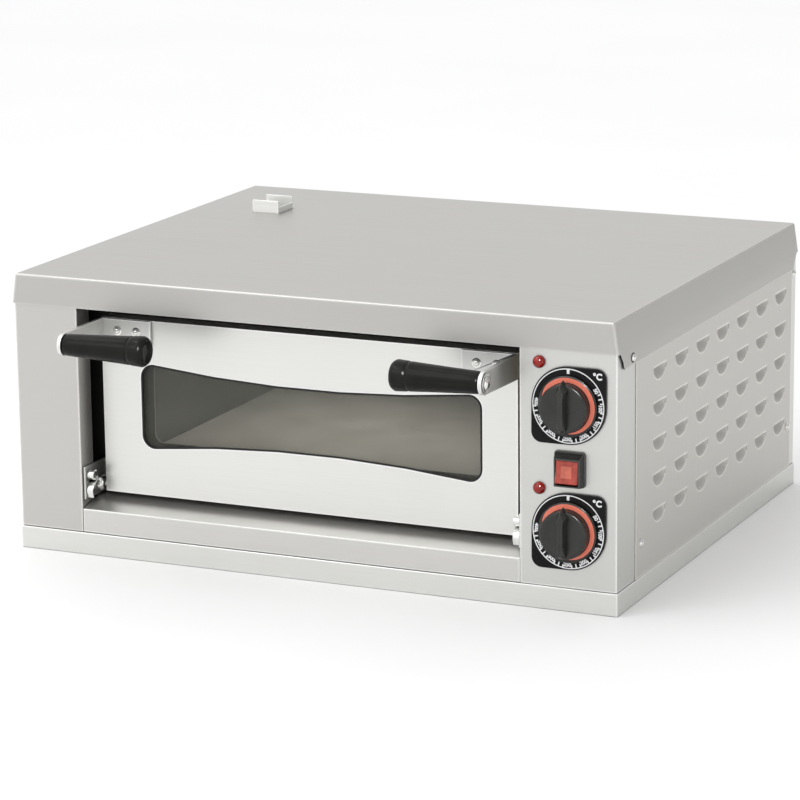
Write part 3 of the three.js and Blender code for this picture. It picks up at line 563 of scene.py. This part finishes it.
def make_louvred_panel():
    """The sheet with its louvres: dishes pressed inwards, each open along its straight upper edge."""
    low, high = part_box("right_side_panel")
    face_x = high.x
    bm = bmesh.new()

    def loop(points):
        verts = [bm.verts.new((face_x, y, z)) for y, z in points]
        return [bm.edges.new(pair) for pair in zip(verts, verts[1:] + verts[:1])]

    turns = [math.pi * j / LOUVRE_SIDES for j in range(LOUVRE_SIDES + 1)]
    outlines = loop([(low.y, low.z), (high.y, low.z), (high.y, high.z), (low.y, high.z)])
    for y, z in louvre_places():
        outlines += loop([
            (y + LOUVRE_HALF_WIDTH * math.cos(a), z - LOUVRE_HEIGHT * math.sin(a)) for a in turns
        ])
    bmesh.ops.triangle_fill(bm, edges=outlines, use_beauty=True, normal=(1, 0, 0))
    for y, z in louvre_places():
        grid = []
        for i in range(LOUVRE_RINGS + 1):
            reach = i / LOUVRE_RINGS
            inward = LOUVRE_DEPTH * max(0.0, 1 - reach**2.2) ** 0.8
            grid.append([
                bm.verts.new((
                    face_x - inward,
                    y + reach * LOUVRE_HALF_WIDTH * math.cos(a),
                    z - reach * LOUVRE_HEIGHT * math.sin(a),
                ))
                for a in turns
            ])
        for near, far in zip(grid, grid[1:]):
            for j in range(LOUVRE_SIDES):
                bm.faces.new((near[j], far[j], far[j + 1], near[j + 1]))
    bmesh.ops.remove_doubles(bm, verts=bm.verts, dist=0.001 * MM)
    bmesh.ops.recalc_face_normals(bm, faces=bm.faces)
    if sum(f.normal.x * f.calc_area() for f in bm.faces) < 0:
        bmesh.ops.reverse_faces(bm, faces=bm.faces)
    sheet = linked("side_panel_louvred", bm, look_of("right_side_panel"))
    thick = sheet.modifiers.new("sheet", "SOLIDIFY")
    thick.thickness = LOUVRE_SHEET
    thick.offset = -1
    soften(sheet, 0.5 * MM, 2, 50)
    stand_for(sheet, "right_side_panel")


HEAD_RADIUS = 3.3 * MM
HEAD_HEIGHT = 2.4 * MM
HEAD_FLANGE = 0.9 * MM
SHANK_RADIUS = 1.6 * MM
LOW_HEAD = 0.34  # the left heads' height as a share of HEAD_HEIGHT, to stay inside the CAD's box
SIDE_SCREWS = ((-178 * MM, 49.5 * MM), (211 * MM, 60 * MM))  # (y, z) in both side panels
WRAP_SCREW = (227 * MM, 203.5 * MM)  # in the back panel where it wraps round to the right


def make_case_screws():
    """The cover's screw, and the heads in the side panels and the back panel's wrap."""
    low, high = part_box("cover_screw")
    seat = high.x - HEAD_HEIGHT
    under_head = 0.3 * MM
    domed = dome(HEAD_RADIUS, HEAD_HEIGHT, HEAD_FLANGE)
    shank = [(low.x - seat, SHANK_RADIUS), (under_head, SHANK_RADIUS)]
    head = [(max(along, under_head), radius) for along, radius in domed]
    bm = bmesh.new()
    turned(bm, shank + head, "X", (seat, (low.y + high.y) / 2, (low.z + high.z) / 2), 32)
    stand_for(from_bmesh("cover_screw_finished", bm, LOOKS["bright"]), "cover_screw")

    flat = [(along * LOW_HEAD, radius) for along, radius in domed]
    places = {
        "back_panel": (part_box("back_panel")[1].x, domed, [WRAP_SCREW]),
        "right_side_panel": (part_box("right_side_panel")[1].x, domed, SIDE_SCREWS),
        "left_side_panel": (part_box("left_side_panel")[0].x, flat, SIDE_SCREWS),
    }
    for node, (x, profile, screws) in places.items():
        outwards = math.copysign(1, x)
        bm = bmesh.new()
        for y, z in screws:
            turned(bm, [(outwards * a, r) for a, r in profile], "X", (x, y, z), 32)
        piece = from_bmesh("screws_in_" + node, bm, LOOKS["bright"])
        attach(piece, BODY_OF[node])


# ------------------------------------------------------------------ door
# The grip's outline from its bracket to its free end, as (share of its length, share of its radius).
GRIP_OUTLINE = [
    (0.0, 0.62), (0.02, 0.68), (0.04, 0.705), (0.10, 0.72), (0.35, 0.79), (0.6, 0.865),
    (0.775, 0.925), (0.785, 0.93), (0.795, 0.895), (0.815, 0.895), (0.825, 0.945),
    (0.835, 0.955), (0.93, 0.99), (0.945, 0.985), (0.965, 0.93), (0.985, 0.84),
    (0.992, 0.76), (0.99, 0.7), (0.97, 0.66), (0.968, 0.2),
]
FLUTES = 6
FLUTE_DEPTH = 0.075  # as a share of the grip's radius
FLUTE_MIDDLE = 0.33  # as shares of the grip's length
FLUTE_REACH = 0.3
# The grip screw's washer and head, as (share of its reach, share of its radius).
WASHER_OUTLINE = [(0.07, 0.97), (0.09, 1.0), (0.24, 1.0)]
SCREW_OUTLINE = [
    (0.28, 1.0), (0.30, 0.99), (0.34, 0.74), (0.55, 0.70), (0.78, 0.55), (0.93, 0.32), (0.99, 0.06),
]
GRIP_SCREW_RADIUS = 8 * MM
GRIP_SHANK_RADIUS = 2.9 * MM


def make_handles():
    for side, label in ((1, "right"), (-1, "left")):
        low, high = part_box("handle_grip_" + label)
        centre = (low + high) / 2
        root, free = (high.x, low.x) if side > 0 else (low.x, high.x)
        length = abs(root - free)
        largest = (high.z - low.z) / 2
        profile = [(root + (free - root) * t - centre.x, r * largest) for t, r in GRIP_OUTLINE]

        def fluted(along, radius, angle):
            t = abs(along + centre.x - root) / length
            window = max(0.0, 1 - abs(t - FLUTE_MIDDLE) / FLUTE_REACH) ** 0.5
            groove = max(0.0, math.cos(FLUTES * angle)) ** 4
            return radius * (1 - FLUTE_DEPTH * window * groove)

        bm = bmesh.new()
        turned(bm, profile, "X", centre, 72, fluted)
        stand_for(from_bmesh("grip_" + label, bm, LOOKS["grip"]), "handle_grip_" + label)
        make_grip_screw(side, label, centre)
        make_bracket_screws(side, label)


def make_grip_screw(side, label, centre):
    low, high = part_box("grip_screw_" + label)
    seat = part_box("handle_bracket_" + label)[1 if side > 0 else 0].x
    outer, inner = (high.x, low.x) if side > 0 else (low.x, high.x)
    reach = abs(outer - seat)
    shape = [(inner - seat, GRIP_SHANK_RADIUS), (0.0, GRIP_SHANK_RADIUS)]
    shape += [
        (side * reach * t, r * GRIP_SCREW_RADIUS) for t, r in WASHER_OUTLINE + SCREW_OUTLINE
    ]
    bm = bmesh.new()
    turned(bm, shape, "X", (seat, centre.y, centre.z), 40)
    screw = from_bmesh("grip_screw_finished_" + label, bm, LOOKS["bright"])
    soften(screw, 0.12 * MM, 1, 50)
    stand_for(screw, "grip_screw_" + label)


BRACKET_PLATE = 3.3 * MM  # how far the bracket's plate stands in front of the door
BRACKET_SCREW_INSETS = (17.5 * MM, 36 * MM)  # from the bracket's outer edge
BRACKET_SCREW_HEIGHT = 201 * MM


def make_bracket_screws(side, label):
    low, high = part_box("handle_bracket_" + label)
    edge = high.x if side > 0 else low.x
    plate_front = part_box("door_outer_skin")[0].y - BRACKET_PLATE
    profile = [(-along, radius) for along, radius in dome(3.0 * MM, 2.3 * MM, 1.3 * MM)]
    bm = bmesh.new()
    for inset in BRACKET_SCREW_INSETS:
        turned(bm, profile, "Y", (edge - side * inset, plate_front, BRACKET_SCREW_HEIGHT), 24)
    screws = from_bmesh("bracket_screws_" + label, bm, LOOKS["bright"])
    soften(screws, 0.12 * MM, 1, 50)
    belong(screws, "handle_bracket_" + label)


# ------------------------------------------------------------------ controls
LABEL_ANGLE_FIRST = 59.0  # clockwise from 12 o'clock, in degrees
LABEL_ANGLE_STEP = 30.6
LABELS = ["50", "100", "150", "200", "250", "300", "350", "400"]
LABEL_RADIUS = 28.3 * MM
LABEL_SIZE = 4.5 * MM
UNIT_PLACE = (25.8 * MM, 26.6 * MM)  # right of and above the dial's centre
UNIT_SIZE = 7.4 * MM
RING_INNER = 30.9 * MM
RING_OUTER = 31.8 * MM
ZERO_MARK_INNER = 27.2 * MM
ZERO_MARK_HALF_ANGLE = 2.4
TICKS_PER_LABEL = 4
TICK_INNERS = (27.6 * MM, 28.4 * MM)  # of the tick midway between two labels, and of its neighbours
TICK_HALF_ANGLE = 1.1
INK = 0.06 * MM


def clock(centre, radius, degrees):
    """Point at that radius, clockwise from 12 o'clock as seen from the front."""
    a = math.radians(degrees)
    return centre[0] + radius * math.sin(a), centre[1] + radius * math.cos(a)


def lettering(text, size, at, y, turn=0.0, weight=0.2 * MM):
    curve = bpy.data.curves.new("label", "FONT")
    curve.body = text
    curve.size = size
    curve.align_x = "CENTER"
    curve.align_y = "CENTER"
    curve.extrude = 0.04 * MM
    curve.offset = weight
    holder = bpy.data.objects.new("label", curve)
    bpy.context.collection.objects.link(holder)
    bpy.context.view_layer.update()
    mesh = bpy.data.meshes.new_from_object(holder)
    bpy.data.objects.remove(holder)
    spin = Matrix.Rotation(math.radians(turn), 4, "Z")
    upright = Matrix.Rotation(math.pi / 2, 4, "X")
    mesh.transform(Matrix.Translation((at[0], y, at[1])) @ upright @ spin)
    return mesh


def arc_band(bm, centre, y, inner_of, outer_of, start, end, steps):
    """A thin band round an axis along Y, between two radii that may change with the angle."""
    rows = []
    for i in range(steps + 1):
        degrees = start + (end - start) * i / steps
        row = []
        for radius in (inner_of(degrees), outer_of(degrees)):
            x, z = clock(centre, radius, degrees)
            row.append(bm.verts.new((x, y, z)))
        rows.append(row)
    for near, far in zip(rows, rows[1:]):
        bm.faces.new((near[0], near[1], far[1], far[0]))


def make_dial(which):
    low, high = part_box(which + "_dial_plate")
    centre = ((low.x + high.x) / 2, (low.z + high.z) / 2)
    refined(which + "_dial_plate", 0.5 * MM)
    ink_y = low.y - 0.05 * MM
    bm = bmesh.new()

    def band(inner, outer, start, end, steps):
        arc_band(bm, centre, ink_y, lambda d: inner, lambda d: outer, start, end, steps)

    band(RING_INNER, RING_OUTER, 0, 360, 96)
    for i in range((len(LABELS) - 1) * TICKS_PER_LABEL + 1):
        if i % TICKS_PER_LABEL:
            degrees = LABEL_ANGLE_FIRST + i * LABEL_ANGLE_STEP / TICKS_PER_LABEL
            band(TICK_INNERS[i % 2], RING_INNER,
                 degrees - TICK_HALF_ANGLE, degrees + TICK_HALF_ANGLE, 1)
    band(ZERO_MARK_INNER, RING_INNER, -ZERO_MARK_HALF_ANGLE, ZERO_MARK_HALF_ANGLE, 2)
    bmesh.ops.recalc_face_normals(bm, faces=bm.faces)
    for i, label in enumerate(LABELS):
        degrees = LABEL_ANGLE_FIRST + i * LABEL_ANGLE_STEP
        # Past 90 degrees the numbers stand with their feet outwards, so the lower ones read upright.
        turn = 180 - degrees if degrees > 90 else -degrees
        at = clock(centre, LABEL_RADIUS, degrees)
        bm.from_mesh(lettering(label, LABEL_SIZE, at, ink_y, turn))
    corner = (centre[0] + UNIT_PLACE[0], centre[1] + UNIT_PLACE[1])
    bm.from_mesh(lettering("°C", UNIT_SIZE, corner, ink_y, weight=0.3 * MM))
    mesh = bpy.data.meshes.new(which + "_scale")
    bm.to_mesh(mesh)
    bm.free()
    scale = link(which + "_scale", mesh, LOOKS["white_ink"])
    skin = scale.modifiers.new("ink", "SOLIDIFY")
    skin.thickness = INK
    skin.offset = 0
    belong(scale, which + "_dial_plate")


KNOB_SIDES = 96
ARC_START = -73.0  # the red arc's ends, clockwise from 12 o'clock, in degrees
ARC_END = 178.0
ARC_TAPERS = (24, 60)  # degrees over which it swells from each end


def make_knob(which):
    low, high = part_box(which + "_knob")
    centre = Vector(((low.x + high.x) / 2, 0, (low.z + high.z) / 2))
    back, front = high.y, low.y
    skirt_radius = (high.x - low.x) / 2
    # The skirt and body, as (distance out from the plate, radius).
    rim = [(0.0, skirt_radius - 0.5 * MM), (0.5 * MM, skirt_radius), (2.0 * MM, skirt_radius),
           (2.4 * MM, skirt_radius - 0.5 * MM), (2.8 * MM, 20.4 * MM), (3.6 * MM, 20.2 * MM),
           (10.6 * MM, 20.9 * MM), (11.6 * MM, 20.7 * MM), (12.2 * MM, 20.0 * MM),
           (12.5 * MM, 18.6 * MM), (12.1 * MM, 16.5 * MM), (11.4 * MM, 12 * MM),
           (11.0 * MM, 6 * MM)]
    bm = bmesh.new()
    turned(bm, [(back - out, r) for out, r in rim], "Y", centre, KNOB_SIDES)
    stand_for(from_bmesh(which + "_knob_skirt", bm, LOOKS["black"]), which + "_knob")

    # The finger bar: a point at 12 o'clock, straight sides and a flat along its ridge.
    arrow = [(0, 24.4), (5.4, 16.4), (4.1, 10), (4.0, -17), (2.6, -19.6),
             (-2.6, -19.6), (-4.0, -17), (-4.1, 10), (-5.4, 16.4)]
    # Sections of the bar, as (place, share of its width, share of its length).
    levels = [(back - 10 * MM, 1.0, 1.0), (front + 4 * MM, 0.86, 0.98), (front, 0.5, 0.84)]
    bm = bmesh.new()
    rows = [
        [bm.verts.new((centre.x + x * wide * MM, y, centre.z + z * tall * MM)) for x, z in arrow]
        for y, wide, tall in levels
    ]
    for near, far in zip(rows, rows[1:]):
        for i in range(len(arrow)):
            j = (i + 1) % len(arrow)
            bm.faces.new((near[i], near[j], far[j], far[i]))
    bm.faces.new(rows[0])
    bm.faces.new(rows[-1])
    bar = from_bmesh(which + "_knob_bar", bm, LOOKS["black"])
    soften(bar, 0.45 * MM, 3, 25)
    belong(bar, which + "_knob")

    # Red arc on the skirt's flat, drawn out to a point at both ends.
    def taper(d):
        return min(1.0, (d - ARC_START) / ARC_TAPERS[0], (ARC_END - d) / ARC_TAPERS[1]) ** 0.7

    bm = bmesh.new()
    arc_band(bm, (centre.x, centre.z), back - 3.0 * MM,
             lambda d: (22.4 - 1.6 * taper(d)) * MM, lambda d: (22.6 + 2.1 * taper(d)) * MM,
             ARC_START, ARC_END, 90)
    belong(from_bmesh(which + "_heat_arc", bm, LOOKS["red_ink"]), which + "_knob")


def make_lamp(which):
    low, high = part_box(which + "_lamp_lens")
    centre = Vector(((low.x + high.x) / 2, 0, (low.z + high.z) / 2))
    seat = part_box("control_panel")[0].y - 0.3 * MM
    depth = seat - low.y
    radius = (high.x - low.x) / 2
    bm = bmesh.new()
    profile = [(high.y, radius * 0.6), (seat, radius * 0.62), (seat, radius * 0.99)]
    for i in range(1, 11):
        a = math.pi / 2 * i / 10
        profile.append((seat - depth * (0.06 + 0.93 * math.sin(a)), radius * max(math.cos(a), 0.02)))
    turned(bm, profile, "Y", centre, 48)
    stand_for(from_bmesh(which + "_lamp_dome", bm, LOOKS["lamp"]), which + "_lamp_lens")


ROCKER_TILT = math.radians(11)  # at rest


def make_switch():
    refined("switch_housing", 0.6 * MM, 3)
    refined("switch_rocker", 1.6 * MM, 4)
    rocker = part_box("switch_rocker")
    hinge = next(j for j in frame["record"]["behaviour"]["joints"] if j["name"] == "switch_rock")
    bm = bmesh.new()
    # A paler lens let into the rocker's face, in line with its tilt at rest.
    block(bm, (-4.8 * MM, -0.7 * MM, -5.2 * MM), (4.8 * MM, 0.4 * MM, 5.2 * MM))
    tilt = Matrix.Rotation(-ROCKER_TILT, 4, "X")
    seat = Matrix.Translation((0, -5.4 * MM, 0))
    pivot = Matrix.Translation(((rocker[0].x + rocker[1].x) / 2, *hinge["pos_m"][1:]))
    bmesh.ops.transform(bm, matrix=pivot @ tilt @ seat, verts=bm.verts)
    lens = from_bmesh("rocker_lens", bm, LOOKS["rocker_core"])
    soften(lens, 0.5 * MM, 3)
    belong(lens, "switch_rocker")


# ------------------------------------------------------------------ everything else
# How far the edges of the pieces that keep their CAD shape are rounded, in millimetres.
FINISHED = {
    "base_tray": 1.0, "left_side_panel": 0.4, "left_front_panel": 0.9, "control_panel": 0.9,
    "back_panel": 0.6, "door_sill": 1.0, "vent_duct": 0.35, "door_outer_skin": 0.5,
    "handle_bracket_left": 0.5, "handle_bracket_right": 0.5,
    "hinge_bracket_left": 0.4, "hinge_bracket_right": 0.4,
    "hinge_pin_left": 0.35, "hinge_pin_right": 0.35,
    "catch_spring_left": 0.25, "catch_spring_right": 0.25, "window_gasket": 0.2,
    "baking_stone": 1.2, "cable_gland": 0.5,
}


def make_stage():
    m = Nodes("studio_floor")
    tone = m.noise((2.0, 2.0, 2.0), 2.0)
    m.colour(m.blend(m.between(tone, 0, 1), rgba(0.93, 0.93, 0.93), rgba(0.95, 0.95, 0.95)))
    m.set(Roughness=m.between(tone, 0.7, 0.8))
    bm = bmesh.new()
    bmesh.ops.create_grid(bm, x_segments=8, y_segments=8, size=9)
    floor = from_bmesh("floor", bm, m.material)

    world = bpy.data.worlds.new("studio")
    bpy.context.scene.world = world
    world.use_nodes = True
    tree = world.node_tree
    towards = tree.nodes.new("ShaderNodeTexCoord").outputs["Generated"]
    split = tree.nodes.new("ShaderNodeSeparateXYZ")
    sky = tree.nodes["Background"]
    both = tree.nodes.new("ShaderNodeMath")
    both.operation = "MULTIPLY"
    tree.links.new(towards, split.inputs[0])
    # The studio is whitest at the front left: it falls off to the right, and a little to the back.
    falls = {"X": (-0.1, 0.6, 1.36, 0.58), "Y": (0.0, 0.7, 1.0, 0.78)}
    for slot, (along, ends) in enumerate(falls.items()):
        level = tree.nodes.new("ShaderNodeMapRange")
        tree.links.new(split.outputs[along], level.inputs["Value"])
        for key, value in zip(("From Min", "From Max", "To Min", "To Max"), ends):
            level.inputs[key].default_value = value
        tree.links.new(level.outputs[0], both.inputs[slot])
    tree.links.new(both.outputs[0], sky.inputs["Strength"])
    sky.inputs["Color"].default_value = rgba(1, 1, 1)

    def softbox(name, place, aim, size, power):
        data = bpy.data.lights.new(name, "AREA")
        data.shape = "RECTANGLE"
        data.size, data.size_y = size
        data.energy = power
        lamp = bpy.data.objects.new(name, data)
        bpy.context.collection.objects.link(lamp)
        lamp.location = place
        lamp.rotation_euler = (Vector(aim) - Vector(place)).to_track_quat("-Z", "Y").to_euler()
        return lamp

    softbox("key", (-1.2, -2.2, 2.0), (0, 0, 0.12), (1.6, 1.2), 9)
    # Narrow lights for the folded edges of the steel.
    softbox("fold_strip", (-0.95, -0.75, 2.1), (0, -0.2, 0.24), (1.5, 0.22), 5)
    softbox("side_strip", (2.0, -1.1, 0.25), (0.28, -0.2, 0.12), (0.2, 1.2), 3)
    # The glints on the black plastics and the lamps; everything else is left out of this light.
    glints = softbox("glints", (0.75, -1.9, 1.25), (0.1, -0.24, 0.12), (0.5, 0.5), 60)
    glossy = [LOOKS[name] for name in ("black", "grip", "lamp")]
    receivers = bpy.data.collections.new("glossy_parts")
    for piece in bpy.data.objects:
        if piece.type == "MESH" and any(look in glossy for look in piece.data.materials):
            receivers.objects.link(piece)
    glints.light_linking.receiver_collection = receivers
    # A small lamp inside the chamber, so that the baking floor shows through the window.
    floor_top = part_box("baking_stone")[1].z
    softbox("chamber", (-0.05, -0.03, floor_top + 0.105), (-0.06, -0.05, floor_top), (0.3, 0.26), 0.19)


make_camera()
bpy.context.scene.view_settings.view_transform = "Standard"
for node_name, piece in NODES.items():
    piece.data.materials.clear()
    piece.data.materials.append(look_of(node_name))
make_cover()
make_louvred_panel()
make_case_screws()
make_handles()
for which in ("upper", "lower"):
    make_dial(which)
    make_knob(which)
    make_lamp(which)
make_switch()
for node_name, edge in FINISHED.items():
    refined(node_name, edge * MM)
make_stage()
